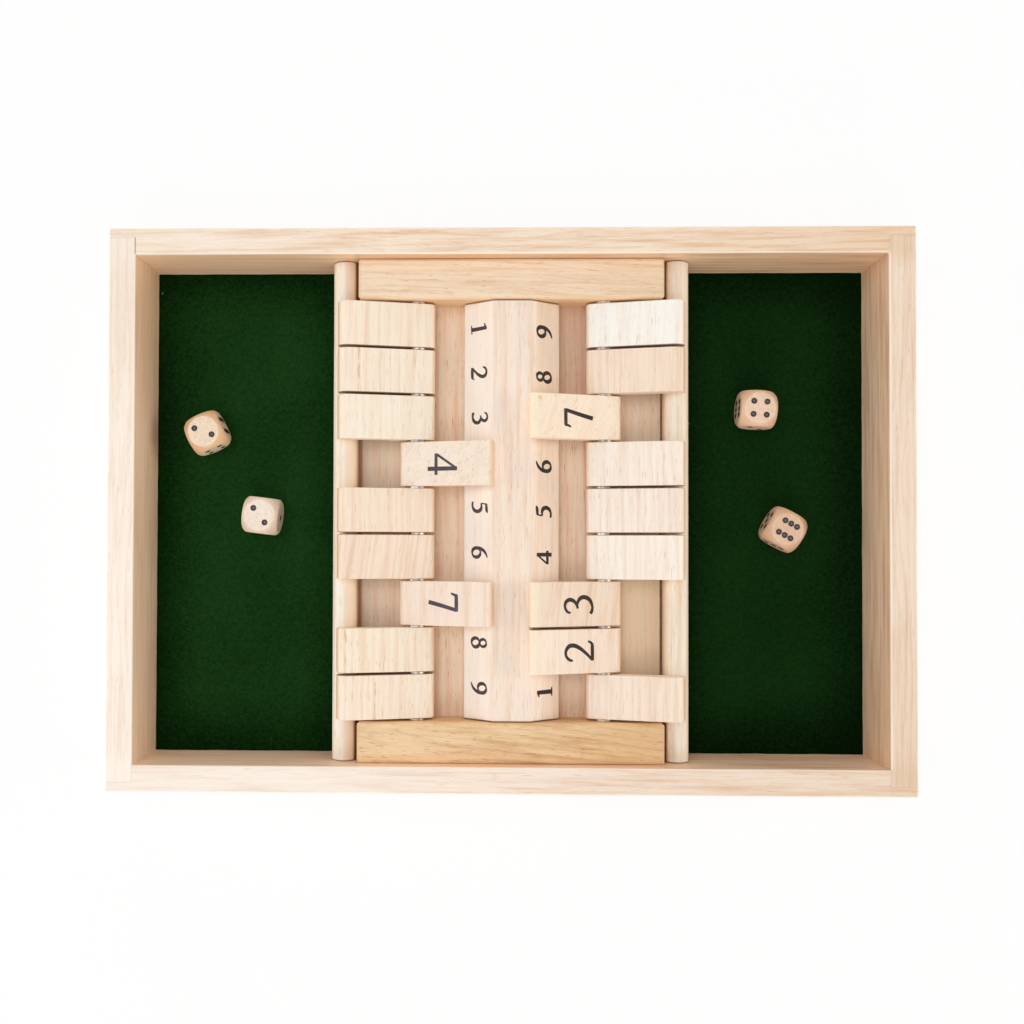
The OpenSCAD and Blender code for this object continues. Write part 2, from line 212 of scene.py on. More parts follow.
def corner_seams(finish, spot):
    """
    Glue lines on the joints by distance from their planes, darkest at the back left; a
    painted highlight on the eased edges; inner faces warmer, partly the finish and partly
    painted warm shade, with browner lines, paler at their foot and browner at the back up
    to the block's end; rails paler to the left and browner to the right, and sides browner
    at the back left and front right.
    """
    x, y, z = finish.parts(spot)
    at_left, at_back = x.fade(0.01, -0.01), y.fade(-0.01, 0.01)
    on_back, on_front = y.fade(0.1, 0.11), y.fade(-0.1, -0.11)
    browner = on_back * x.fade(0.03, 0.15) * 0.22
    tanned = on_front * x.fade(-0.02, 0.07)
    cornered = abs(x).fade(inner_half[0] - 0.001, inner_half[0]) * (x * y).fade(-0.005, -0.014)
    paler = (on_back * x.fade(-0.06, -0.13) * 0.22).most(on_front * x.fade(0.0, -0.1) * 0.42)
    x, y = abs(x), abs(y)
    beyond = x.fade(inner_half[0] + 0.0002, inner_half[0] + 0.0004)
    long_seam = abs(y - lip_edge).fade(0.0003, 0.0001) * beyond * 0.1
    outside = y.fade(inner_half[1] + 0.0002, inner_half[1] + 0.0004) * y.fade(lip_edge + 0.0004, lip_edge)
    gaping = at_left * at_back * 0.7 + 0.12
    short_seam = abs(x - inner_half[0]).fade(0.0003, 0.0001) * outside * gaping
    inside = x.fade(inner_half[0] + 0.0006, inner_half[0]) * y.fade(inner_half[1] + 0.0006, inner_half[1])
    inside = inside * z.fade(0.0394, 0.0388)
    foot = z.fade(0.0102, 0.0090) * inside
    figure = finish.noise(spot, (20, 20, 420), 4, 0.6).fade(0.44, 0.66)
    eased = z.fade(0.0390, 0.0394) * z.fade(0.04, 0.0398)
    return [(browner, (216, 158, 100)), (tanned * 0.24, (214, 180, 148)), (cornered * 0.2, (222, 188, 150)),
            (paler, (255, 249, 241)),
            # Painted highlight on the eased edges; painted warm shade, with the finish's warmth, on the inner
            # faces.
            (long_seam.most(short_seam), (140, 78, 36)), (eased * 0.5, (255, 248, 240)),
            (inside * (at_left * 0.12 + 0.25), (252, 194, 130)),
            (inside * figure * (at_left * -0.25 + 0.45), (194, 138, 98)),
            (inside * at_back * x.fade(0.067, 0.065) * 0.35, (200, 154, 108)),
            (foot * (at_back * 0.6 + 0.3), (255, 232, 184))]


def dress(node, material):
    """Gives a carried-over solid its finish."""
    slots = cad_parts[node].data.materials
    slots.clear()
    slots.append(material)


for node, pale, dark, along, seed, figure in (
        ("back_rail", (250, 230, 208), (216, 164, 112), 0, 11, dict(fibre_show=0.5, slant=-0.015, wander=12)),
        ("front_rail", (251, 234, 218), (223, 179, 137), 0, 12, dict(fibre_show=0.5, slant=0.01, wander=12)),
        ("left_side", (254, 242, 228), (234, 198, 164), 1, 13,
         dict(streak_show=0.3, vessel_show=0.3, wander=10)),
        ("right_side", (246, 226, 206), (216, 172, 134), 1, 14,
         dict(streak_show=0.4, vessel_show=0.35, wander=10))):
    name = node.replace("_", " ") + " wood"
    dress(node, wood(name, pale, dark, along, seed, marks=corner_seams, **figure))

# Base panel: a thin plain board that floats in grooves in the walls; only its
# underside and a thin line beside the felt are seen.
dress("base_panel", wood(
    "base panel board", (236, 208, 172), (196, 148, 102), 0, 21, ring_gap=0.006, shine=0.6))

# Deck board: carries the blocks, the bar and the hinged flaps. It is seen only in
# strips between the flaps and the bar, where it is tan and a little pink, redder at
# the back on the bar's right, with painted light and painted shade by the dowels.
deck_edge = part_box("deck_board")[1][0]


def heartwood(finish, spot):
    """
    A red-brown strip at the bar's right, strongest at the back; painted light paling the
    deck by the dowels; golden at the front right; painted shade darkening the foot of the
    left dowel and the right edge, there the more at the front.
    """
    x, y, _ = finish.parts(spot)
    strip = x.fade(0.016, 0.020) * x.fade(0.050, 0.040)
    golden = x.fade(0.046, 0.050) * y.fade(-0.02, -0.035)
    outer = abs(x).fade(0.044, 0.048)
    # Painted light pales the deck by the dowels; painted shade darkens the left dowel's foot and the right
    # edge.
    return [(strip * (y.fade(0.02, 0.07) * 0.3 + 0.06), (178, 112, 80)),
            (outer * ((x * y).fade(0.0, -0.0008) * 0.2 + 0.15), (255, 233, 201)),
            (golden * 0.3, (240, 200, 142)), (x.fade(-0.0641, -0.0650) * 0.5, (166, 94, 50)),
            (x.fade(deck_edge - 0.0002, deck_edge) * 0.7, (120, 68, 38)),
            (x.fade(deck_edge - 0.0005, deck_edge - 0.0002) * y.fade(0.0, -0.01) * 0.7, (70, 40, 22))]


dress("deck_board", wood(
    "deck board", (255, 228, 197), (244, 186, 144), 1, 31, streak_show=0.6, vessel_show=0.6,
    vessel=(190, 118, 66), marks=heartwood, shine=0.52))

# Bearing blocks: two short blocks, rounded on top, glued to the deck against the
# rails; the back one is paler with a slanting figure, the front one golden.
block_low, block_high = np.array(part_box("back_bearing_block"))


def eased_ends(finish, spot):
    """
    Painted warm shade on the rounded ends and inner edges, by distance from the flat top,
    and a warmer right part, more so at the front.
    """
    x, y, _ = finish.parts(spot)
    middle, half = (block_low[0] + block_high[0]) / 2, (block_high[0] - block_low[0]) / 2
    end = abs(x - middle).fade(half - 0.0018, half)
    edge = abs(y).fade(block_low[1] + 0.0016, block_low[1])
    # The second mark is painted warm shade on the rounded ends and inner edges.
    return [(x.fade(0.018, 0.056) * (y.fade(0.01, -0.01) * 0.28 + 0.14), (214, 164, 108)),
            (end.most(edge) * 0.5, (226, 178, 124))]


dress("back_bearing_block", wood(
    "back block wood", (250, 225, 196), (222, 176, 126), 0, 41, streak_show=0.4, ring_gap=0.0026,
    fibre_show=0.6, vessel_show=0.6, vessel=(196, 138, 70), slant=0.03, lean=0.05, wander=12,
    sway_show=3.0, marks=eased_ends))
dress("front_bearing_block", wood(
    "front block wood", (246, 212, 167), (200, 146, 89), 0, 42, ring_gap=0.0022, ring_show=0.18,
    fibre_show=0.7, cloud_show=0.55, vessel_show=0.8, vessel=(178, 118, 56), slant=0.08, lean=0.06,
    wander=8, sway_show=1.6, heart=(-0.1036, 0.0231), marks=eased_ends))

# Hinge rods and washers: bright drawn steel, three millimetres thick, with a plain
# washer in every gap; they show only as small grey slips between the flaps.


def steel(name, bright, dull):
    """Drawn steel: fine scratches along Y in the roughness, slow tarnish in the colour."""
    finish = Finish(name, Metallic=1.0)
    spot = finish.spot()
    scratches = finish.noise(spot, (3000, 90, 3000))
    tarnish = finish.noise(spot, 160.0, 3).fade(0.35, 0.75)
    finish.feed(Base_Color=finish.blend(tarnish, paint(*bright), paint(*dull)),
                Roughness=scratches * 0.25 + 0.3)
    finish.bump(scratches, 0.00001, 0.4)
    return finish.material


for side in ("left", "right"):
    dress(f"{side}_pivot_rod", steel(f"{side} rod steel", (112, 98, 84), (78, 64, 52)))
    dress(f"{side}_washers", steel(f"{side} washer steel", (218, 208, 198), (156, 142, 130)))

# Rest dowels: turned rods with rounded ends, let into the rails with a tenon; the
# open flaps lie on them.


def skin(name, points, faces, materials, sharp=0.6):
    """Makes a piece from points and faces, smooth but for edges sharper than given."""
    mesh = bpy.data.meshes.new(name)
    mesh.from_pydata(np.asarray(points).reshape(-1, 3).tolist(), [], [list(face) for face in faces])
    for material in materials:
        mesh.materials.append(material)
    mesh.polygons.foreach_set("use_smooth", np.ones(len(mesh.polygons), dtype=bool))
    mesh.set_sharp_from_angle(angle=sharp)
    mesh.update()
    piece = bpy.data.objects.new(name, mesh)
    bpy.context.scene.collection.objects.link(piece)
    return piece


def quads(rows, columns, wrap_rows=False, wrap_columns=False, first=0):
    """Faces of a grid of points: each joins a point to the next in its row and in its column."""
    row = np.arange(rows if wrap_rows else rows - 1)[:, None]
    column = np.arange(columns if wrap_columns else columns - 1)[None, :]
    below, beside = (row + 1) % rows, (column + 1) % columns
    corners = [row * columns + column, row * columns + beside,
               below * columns + beside, below * columns + column]
    return (np.stack(np.broadcast_arrays(*corners), -1).reshape(-1, 4) + first).tolist()


def tube(rows, columns):
    """Faces of a row of closed rings of points, shut at both ends."""
    last = [(rows - 1) * columns + k for k in range(columns)]
    return quads(rows, columns, wrap_columns=True) + [list(range(columns))[::-1], last]


def easing(ease, steps=4):
    """A quarter round of the given radius, as insets from the side and from the end."""
    angle = np.linspace(0, np.pi / 2, steps + 1)
    return ease * (1 - np.sin(angle)), ease * (1 - np.cos(angle))


def turned_rod(name, centre, stations, radii, materials, around=64):
    """Rod along Y: circles of the given radii at the stations about the centre, closed at its ends."""
    angle = np.linspace(0, 2 * np.pi, around, endpoint=False)
    stations, radii = stations[:, None], radii[:, None]
    rings = np.stack([centre[0] + radii * np.sin(angle), centre[1] + stations + 0 * angle,
                      centre[2] + radii * np.cos(angle)], -1)
    return skin(name, rings, tube(len(stations), around), materials)


for side, seed, pale, dark, golden, foot in (("left", 51, (255, 247, 231), (240, 206, 168), 0.9, 0.8),
                                             ("right", 52, (253, 241, 222), (232, 191, 148), 0.0, 0.3)):
    low, high = np.array(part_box(f"{side}_rest_dowel"))
    centre, radius, tenon, tenon_length = (low + high) / 2, (high[0] - low[0]) / 2, 0.003, 0.005
    inset, back = easing(0.0006)
    stations = np.concatenate([[-tenon_length, 0], back, [0.0012]]) - inner_half[1]
    radii = np.concatenate([[tenon, tenon], radius - inset, [radius]])
    stations, radii = np.concatenate([stations, -stations[::-1]]), np.concatenate([radii, radii[::-1]])

    def shaded(finish, spot):
        """
        Painted warm shade on the side towards the flaps, painted brown shade at its foot and,
        beside a block, higher up; the left dowel's inner half is golden; painted shadow browns
        the rounded ends.
        """
        x, y, z = finish.parts(spot)
        away = abs(centre[0])
        inward = (x * -np.sign(centre[0])).fade(-away - 0.001, -away + 0.002)
        by_block = abs(y).fade(block_low[1], block_low[1] + 0.001)
        inner_half_round = abs(x).fade(away + 0.0006, away - 0.0004)
        # Every mark but the first is painted shade.
        return [(inner_half_round * golden, (255, 229, 199)),
                (inward * z.fade(centre[2] + 0.0054, centre[2] + 0.0010) * 0.6, (234, 186, 134)),
                (inward * z.fade(centre[2] + 0.0032, centre[2] + 0.0010) * foot, (134, 80, 44)),
                (inward * by_block * z.fade(centre[2] + 0.0044, centre[2] + 0.0030) * 0.9, (98, 54, 28)),
                (abs(y).fade(inner_half[1] - 0.0007, inner_half[1] - 0.0003) * 0.7, (104, 62, 36))]

    dowel = turned_rod(f"{side}_turned_dowel", centre, stations, radii, [
        wood(f"{side} dowel wood", pale, dark, 1, seed, streak_show=0.4, marks=shaded)])
    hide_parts(f"{side}_rest_dowel")
    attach(dowel, "box")

# Number bar: a board with a flat top and two sloping faces between the two rows. Its
# grain runs the long way and its ends are crisp; it is stained and painted with shade
# towards its edges, with painted light on its left face and painted shadow at its ends.

# Width of the narrow strip beside each round that keeps the shading of the faces flat.
strip_width = 0.00015


def unit(vector):
    """The vector at length one."""
    return vector / np.linalg.norm(vector)


def rounded_outline(corners, steps=5):
    """
    Closed outline through corners (a, b, radius), in turn anticlockwise, each an arc that
    touches both of its sides. Gives points and normals.
    """
    corners, points, normals = np.array(corners), [], []
    for corner, last, following in zip(corners, np.roll(corners, 1, 0), np.roll(corners, -1, 0)):
        here, radius = corner[:2], corner[2]
        to_last, to_next = unit(last[:2] - here), unit(following[:2] - here)
        normal_in = np.array([-to_last[1], to_last[0]])
        normal_out = np.array([to_next[1], -to_next[0]])
        half_angle = np.arccos(np.clip(to_last @ to_next, -1, 1)) / 2
        centre = here + unit(to_last + to_next) * radius / np.sin(half_angle)
        start, end = (np.arctan2(normal[1], normal[0]) for normal in (normal_in, normal_out))
        angle = np.linspace(start, start + (end - start) % (2 * np.pi), steps + 1)
        arc = np.stack([np.cos(angle), np.sin(angle)], 1)
        reach = radius / np.tan(half_angle) + strip_width
        points += [here + to_last * reach, *(centre + radius * arc), here + to_next * reach]
        normals += [normal_in, *arc, normal_out]
    return np.array(points), np.array(normals)


def carried(outline, normals, start, end, ease):
    """Rings of the outline from start to end along Y, drawn in by a quarter round at both ends."""
    inset, back = easing(ease)
    stations = np.concatenate([start + back, [start + ease + strip_width, end - ease - strip_width],
                               end - back[::-1]])
    insets = np.concatenate([inset, [0, 0], inset[::-1]])
    flat = outline[None] - insets[:, None, None] * normals[None]
    return np.stack([flat[..., 0], np.broadcast_to(stations[:, None], flat.shape[:2]), flat[..., 1]], -1)


# The unit of blocks, flaps and numbers lies this far right of the box's middle.
unit_shift = 0.00085
bar_low, bar_high = np.array(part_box("number_bar"))
bar_half, bar_middle = (bar_high[0] - bar_low[0]) / 2, (bar_high[0] + bar_low[0]) / 2
flat_half, bar_side, deck_top = 0.0082, 0.0064, bar_low[2]
edge_height = deck_top + bar_side
face_slope = np.arctan2(bar_high[2] - edge_height, bar_half - flat_half)


def bar_top(x):
    """Height of the bar's flat top, or of the face beside it, at a place along the box."""
    return bar_high[2] - np.maximum(abs(x - bar_middle) - flat_half, 0) * np.tan(face_slope)


outline, normals = rounded_outline(
    [(-bar_half, deck_top, 0.0003), (bar_half, deck_top, 0.0003), (bar_half, edge_height, 0.0008),
     (flat_half, bar_high[2], 0.0015), (-flat_half, bar_high[2], 0.0015), (-bar_half, edge_height, 0.0008)])
rings = carried(outline, normals, bar_low[1], bar_high[1], 0.0005) + np.array([bar_middle, 0, 0])
bar_faces = [face[::-1] for face in tube(*rings.shape[:2])]


def bar_stain(finish, spot):
    """
    A warmer tone towards the bar's edges, mostly the right, by distance from its middle, and
    on the right face towards the back, partly stain and partly painted shade; painted light
    on the left face and edge; painted contact shadow darkens the ends.
    """
    x, y, _ = finish.parts(spot)
    x = x - bar_middle
    # Stain and painted shade towards the edges, painted light on the left face and edge, painted contact
    # shadow at the ends.
    return [(abs(x).fade(0.010, 0.0205) * (x.fade(-0.01, 0.01) * 0.16 + 0.02), (240, 194, 142)),
            (x.fade(-0.0076, -0.0090) * 0.3, (255, 248, 240)),
            (x.fade(0.0090, 0.0125) * x.fade(0.0198, 0.0170) * y.fade(-0.035, 0.02) * 0.25, (211, 177, 138)),
            (x.fade(0.005 - bar_half, 0.001 - bar_half) * 0.35, (254, 242, 230)),
            (abs(y).fade(bar_high[1] - 0.0006, bar_high[1] - 0.0002) * (y.fade(-0.01, 0.01) * -0.25 + 0.7),
             (128, 82, 50))]


bar = skin("sloped_number_bar", rings, bar_faces, [
    wood("number bar wood", (250, 232, 215), (230, 190, 156), 1, 61, streak_show=0.4, marks=bar_stain)])
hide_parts("number_bar")
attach(bar, "box")

# Flaps: small boards with the grain across their length, rounded at nose and tail
# and bored for the hinge rod. Each is cut from its own stock, so their tones differ.
# An open flap's nose lies on the dowel; a shut one's lies on the bar.
flap_width, flap_pitch, flap_thick = 0.019, 0.020, 0.0076
nose_reach, tail_reach, nose_round, bore_radius = 0.0345, 0.0076, 0.005, 0.00156
pivot_offset, pivot_height, stop_gap = 0.0404, 0.0261, 0.0002
dowel_offset, dowel_height, dowel_radius = 0.0717, 0.02356, 0.0056


def resting_on_dowel():
    """
    Slope at which an open flap touches the dowel: the arcsine of (half the flap's thickness
    plus the dowel's radius) over the dowel's distance from the rod, less its angle below it.
    """
    run, drop = dowel_offset - pivot_offset, pivot_height - dowel_height
    reach = flap_thick / 2 + dowel_radius + stop_gap
    return np.arcsin(reach / np.hypot(run, drop)) - np.arctan2(drop, run)


def resting_on_bar(sign):
    """
    Slope at which a shut flap's round nose touches the bar's face: the face's slope less the
    nose's angle from the rod, less the arcsine of (the rod's height over the face less the
    nose's radius) over the nose's distance from the rod. sign is -1 for the left row.
    """
    nose = np.array([nose_reach - nose_round, nose_round - flap_thick / 2])
    run = sign * (unit_shift - bar_middle) + pivot_offset - bar_half
    over_face = run * np.sin(face_slope) + (pivot_height - edge_height) * np.cos(face_slope)
    lean = np.arctan2(nose[1], nose[0])
    return face_slope - lean - np.arcsin((over_face - nose_round - stop_gap) / np.linalg.norm(nose))


open_slope = resting_on_dowel()
shut_flaps = {"left": (4, 7), "right": (2, 3, 7)}

# Places of a few pitch streaks along the grain, of one knot and its radius.
pitch_streaks = {"left_2": -0.0632, "left_8": -0.0684, "left_9": -0.0560}
knots = {"right_7": (0.0130, 0.0474, 0.0014)}

# Tone of each flap, how strong its streaks are, and how its figure differs from the usual.
flap_stock = {
    "left_1": ((250, 227, 204), 0.35, dict(vessel_show=0.25)),
    "left_2": ((249, 228, 207), 0.35, {}),
    "left_3": ((253, 231, 210), 0.3, {}),
    "left_4": ((241, 222, 202), 0.2, dict(ring_show=0.1, vessel_show=0.7, slant=0.5)),
    "left_5": ((244, 221, 197), 0.3, dict(fibre_show=0.6)),
    "left_6": ((244, 219, 196), 0.35, dict(ring_show=0.35, slant=0.12)),
    "left_7": ((242, 219, 200), 0.3, {}),
    "left_8": ((252, 228, 204), 0.5, dict(vessel_show=0.6)),
    "left_9": ((251, 227, 205), 0.35, dict(vessel_show=0.5)),
    "right_9": ((252, 238, 227), 0.15, dict(fibre_show=0.4, slant=0.06)),
    "right_8": ((242, 218, 195), 0.3, dict(fibre_show=0.5)),
    "right_7": ((247, 225, 200), 0.2, dict(ring_show=0.1, vessel_show=0.6, slant=0.4)),
    "right_6": ((247, 229, 213), 0.35, {}),
    "right_5": ((246, 228, 212), 0.45, {}),
    "right_4": ((248, 232, 216), 0.3, {}),
    "right_3": ((239, 215, 192), 0.4, dict(slant=0.12)),
    "right_2": ((245, 223, 203), 0.45, {}),
    "right_1": ((243, 221, 201), 0.4, dict(fibre_show=0.5)),
}


def flap_place(side, number):
    """
    Pivot of a flap and the matrix from its own axes (towards the nose, along the rod, out
    of the number side) to the box's. A right flap is a left one turned half round, and an
    open flap points outwards with its number down.
    """
    sign = -1 if side == "left" else 1
    place = (5 - number if side == "left" else number - 5) * flap_pitch
    pivot = np.array([unit_shift + sign * pivot_offset, place, pivot_height])
    if number in shut_flaps[side]:
        shut_slope = resting_on_bar(sign)
        nose = np.array([-sign * np.cos(shut_slope), 0, np.sin(shut_slope)])
        face = np.array([sign * np.sin(shut_slope), 0, np.cos(shut_slope)])
    else:
        nose = np.array([sign * np.cos(open_slope), 0, np.sin(open_slope)])
        face = np.array([sign * np.sin(open_slope), 0, -np.cos(open_slope)])
    return pivot, np.stack([nose, np.cross(face, nose), face], 1)


half = flap_thick / 2
outline, normals = rounded_outline([(-tail_reach, -half, 0.0036), (nose_reach, -half, nose_round),
                                    (nose_reach, half, 0.001), (-tail_reach, half, 0.0036)], 8)
rings = carried(outline, normals, -flap_width / 2, flap_width / 2, 0.0004)
round_rod = np.arctan2(outline[:, 1], outline[:, 0])
bore = np.stack([bore_radius * np.cos(round_rod), 0 * round_rod, bore_radius * np.sin(round_rod)], -1)
rings = np.concatenate([[bore + [0, -flap_width / 2, 0]], rings, [bore + [0, flap_width / 2, 0]]])
flap_faces = [face[::-1] for face in quads(len(rings), len(outline), wrap_rows=True, wrap_columns=True)]


def burnished(finish, spot):
    """
    Painted warm shade on the rounded nose and tail, by distance along the flap, and painted
    shade on the sides that face a flap beside it; a painted highlight on a shut right flap's
    nose. A pitch streak is a wavy line along the grain and a knot a spot, each by distance
    from its place.
    """
    along = finish.node("Attribute", {"attribute_name": "along"}, out=2)
    x, y, _ = finish.parts(spot)
    sides = [(y - pivot[1]) * sign for sign in (-1, 1) if gap_shaded[sign]]
    # Painted warm shade on the nose; a shut right flap's nose gets a painted highlight instead.
    nose_start, nose_end, nose_tone = 0.0009, 0.0001, (232, 188, 138)
    if side == "right" and int(number) in shut_flaps[side]:
        nose_start, nose_end, nose_tone = 0.005, 0.001, (255, 244, 214)
    marks = [(along.fade(-0.0056, -0.0078) * 0.5, (232, 188, 138)),
             (along.fade(nose_reach - nose_start, nose_reach - nose_end) * 0.5, nose_tone)]
    # Painted shade on the sides that face a flap beside it across the narrow gap.
    marks += [(side_off.fade(flap_width / 2 - 0.0003, flap_width / 2 - 0.0001) * 0.6, (136, 82, 46))
              for side_off in sides]
    if stock in pitch_streaks:
        wave = finish.noise(spot, (0, 130, 0)) * 0.0016
        off = abs(x + wave - pitch_streaks[stock])
        marks.append((off.fade(0.0008, 0.0001) * finish.noise(spot, (90, 160, 0)).fade(0.35, 0.6) * 0.6,
                      (214, 160, 100)))
    if stock in knots:
        at_x, at_y, size = knots[stock]
        off = ((x - at_x) ** 2.0 + (y - at_y) ** 2.0) ** 0.5
        marks.append((off.fade(size, size * 0.3) * 0.6, (226, 182, 112)))
    return marks


for seed, (stock, (tone, streaks, figure)) in enumerate(flap_stock.items(), 101):
    pale, dark = np.minimum(np.array(tone) + [7, 10, 12], 253), np.array(tone) - [16, 32, 44]
    side, number = stock.split("_")
    pivot, axes = flap_place(side, int(number))
    forward = -1 if side == "left" else 1
    # Sides that face a flap in the same pose, which get painted shade in the gap.
    gap_shaded = {sign: (int(number) in shut_flaps[side]) == (int(number) + sign * forward in shut_flaps[side])
              and 1 <= int(number) + sign * forward <= 9 for sign in (-1, 1)}
    flap = skin(f"{side}_flap_{number}_board", rings @ axes.T + pivot, flap_faces,
                [wood(f"flap wood {side} {number}", pale, dark, 1, seed, streak_show=streaks, marks=burnished,
                      **figure)])
    flap.data.attributes.new("along", "FLOAT", "POINT").data.foreach_set("value", rings[..., 0].ravel())
    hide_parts(f"{side}_flap_{number}")
    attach(flap, f"{side}_flap_{number}")

# Numbers: plain figures from 1 to 9 printed in soft dark grey ink, small ones down
# both sides of the bar and a large one on the face of each flap that shows when it
# is shut. Each figure is drawn with a few pen strokes of changing width.


def pen(stroke, closed, stretch, bold, extra):
    """
    Band of changing width along a smooth curve through (x, y, width) points: the
    Catmull-Rom curve's points moved half a width to each side along its normal. The
    curve is stretched sideways, and its width becomes bold times the width plus extra.
    """
    control = np.array(stroke, dtype=float) * [stretch, 1, bold] + [0, 0, extra]
    if closed:
        padded = np.concatenate([control[-1:], control, control[:2]])
    else:
        padded = np.concatenate([2 * control[:1] - control[1:2], control, 2 * control[-1:] - control[-2:-1]])
    t = np.linspace(0, 1, 9)[:-1][:, None]
    before, here, ahead, after = (padded[k:len(padded) - 3 + k, None] for k in range(4))
    line = 0.5 * (2 * here + (ahead - before) * t + (2 * before - 5 * here + 4 * ahead - after) * t ** 2
                  + (3 * here - before - 3 * ahead + after) * t ** 3)
    line = line.reshape(-1, 3)
    if closed:
        run = np.roll(line, -1, 0)[:, :2] - np.roll(line, 1, 0)[:, :2]
    else:
        line = np.concatenate([line, padded[-2:-1]])
        run = np.gradient(line[:, :2], axis=0)
    run /= np.linalg.norm(run, axis=1)[:, None]
    across = np.stack([-run[:, 1], run[:, 0]], 1) * line[:, 2:] / 2
    band = np.stack([line[:, :2] + across, line[:, :2] - across], 1)
    return band, quads(len(line), 2, wrap_rows=closed)


def oval(x, y, wide, high, thick, thin=0.055):
    """Closed stroke about (x, y), thick at its sides and thin at top and bottom."""
    angle = np.linspace(0, 2 * np.pi, 17)[:-1]
    side = np.abs(np.cos(angle - 0.25)) ** 1.4
    return list(zip(x + wide * np.cos(angle), y + high * np.sin(angle), thin + (thick - thin) * side))


# Each figure's closed ovals (x, y, half width, half height, thickness) and open strokes of
# points (x, y, width), in a box one high.
ovals = {"6": [(.335, .295, .235, .265, .135)], "9": [(.325, .70, .235, .265, .135)],
         "8": [(.32, .755, .185, .205, .11), (.315, .275, .225, .25, .135)]}
strokes = {
    "1": [[(.33, .0, .155), (.33, .5, .145), (.33, .985, .135)],
          [(.36, .975, .05), (.24, .90, .06), (.09, .86, .035)],
          [(.10, .018, .035), (.33, .022, .05), (.56, .018, .035)]],
    "2": [[(.06, .72, .035), (.10, .85, .075), (.22, .95, .07), (.38, .955, .085), (.52, .85, .125),
           (.54, .68, .13), (.45, .48, .11), (.27, .25, .08), (.08, .06, .06)],
          [(.05, .05, .095), (.33, .05, .105), (.56, .055, .10)],
          [(.55, .05, .10), (.62, .10, .055), (.67, .20, .03)]],
    "3": [[(.08, .77, .04), (.13, .89, .065), (.28, .965, .06), (.44, .92, .10), (.50, .78, .125),
           (.42, .62, .09), (.22, .51, .035)],
          [(.22, .535, .035), (.38, .54, .07), (.54, .44, .12), (.575, .28, .135), (.48, .11, .115),
           (.28, .025, .07), (.12, .045, .095), (.055, .095, .085)]],
    "4": [[(.50, .97, .05), (.26, .62, .055), (.035, .29, .06)],
          [(.01, .275, .085), (.36, .275, .09), (.70, .275, .085)],
          [(.50, -.01, .135), (.50, .5, .13), (.50, .985, .125)]],
    "5": [[(.17, .915, .08), (.34, .925, .095), (.50, .945, .09), (.62, .995, .03)],
          [(.175, .945, .05), (.145, .76, .05), (.125, .575, .05)],
          [(.13, .58, .045), (.30, .61, .08), (.47, .52, .13), (.525, .34, .14), (.46, .15, .115),
           (.28, .03, .07), (.13, .025, .07), (.02, .05, .055)]],
    "6": [[(.10, .32, .13), (.13, .55, .125), (.25, .78, .10), (.42, .92, .07), (.60, 1.0, .03)]],
    "7": [[(.05, .93, .10), (.29, .935, .11), (.57, .935, .11)],
          [(.065, .965, .06), (.035, .85, .055), (-.01, .755, .02)],
          [(.53, .945, .10), (.40, .48, .12), (.28, .0, .13)]],
    "9": [[(.56, .68, .13), (.535, .45, .125), (.41, .21, .10), (.24, .07, .07), (.05, -.01, .03)]],
}


def printing_ink(name, dark, worn):
    """Matt ink, a little worn where fine and coarse noise are both high."""
    finish = Finish(name, Specular_IOR_Level=0.3)
    spot = finish.spot()
    grain = finish.noise(spot, 2600.0)
    wear = (grain * 0.6 + finish.noise(spot, 260.0) * 0.5).fade(0.42, 0.85)
    finish.feed(Base_Color=finish.blend(wear, paint(*dark), paint(*worn)), Roughness=grain * 0.2 + 0.5)
    finish.bump(grain, 0.00001, 0.5)
    return finish.material


bar_inks = {"left": printing_ink("grey bar ink", (61, 48, 50), (92, 76, 74)),
            "right": printing_ink("dark bar ink", (43, 28, 24), (72, 54, 46))}
flap_inks = {"left": printing_ink("grey flap ink", (74, 65, 70), (104, 93, 96)),
             "right": printing_ink("dark flap ink", (52, 41, 38), (80, 66, 58))}


def printed(name, marks, hand, ink, lay):
    """
    Printed figures. marks are (figure, centre along, centre across, height, tilt), with along
    towards the figure's top; hand is the pen's stretch, bold and extra; lay takes (along,
    across) arrays and a tiny lift to points on the surface.
    """
    points, faces, count = [], [], 0
    for figure, along, across, height, tilt in marks:
        layers = [(oval(*shape), True) for shape in ovals.get(figure, [])]
        layers += [(stroke, False) for stroke in strokes.get(figure, [])]
        for layer, (stroke, closed) in enumerate(layers):
            band, joined = pen(stroke, closed, *hand)
            flat = (band - np.array([0.33 * hand[0], 0.5])) * height
            turned = np.stack([flat[..., 0] * np.cos(tilt) - flat[..., 1] * np.sin(tilt),
                               flat[..., 0] * np.sin(tilt) + flat[..., 1] * np.cos(tilt)], -1)
            spots = lay(along + turned[..., 1], across + turned[..., 0], 0.00002 + 0.000004 * layer)
            points.append(spots.reshape(-1, 3))
            faces += [[corner + count for corner in face] for face in joined]
            count += len(points[-1])
    piece = skin(name, np.concatenate(points), faces, [ink])
    return piece


def on_bar(sign):
    """Lays figures on the bar's faces with their tops towards sign along X."""
    def lay(along, across, lift):
        x = unit_shift + sign * along
        return np.stack([x, -sign * across, bar_top(x) + lift], -1)
    return lay


small, large, large_place, light_hand = 0.0067, 0.0134, 0.0130, (1.0, 0.74, 0.039)
bold_hands = {"left": (1.27, 1.68, 0.006), "right": (1.27, 1.8, 0.014)}
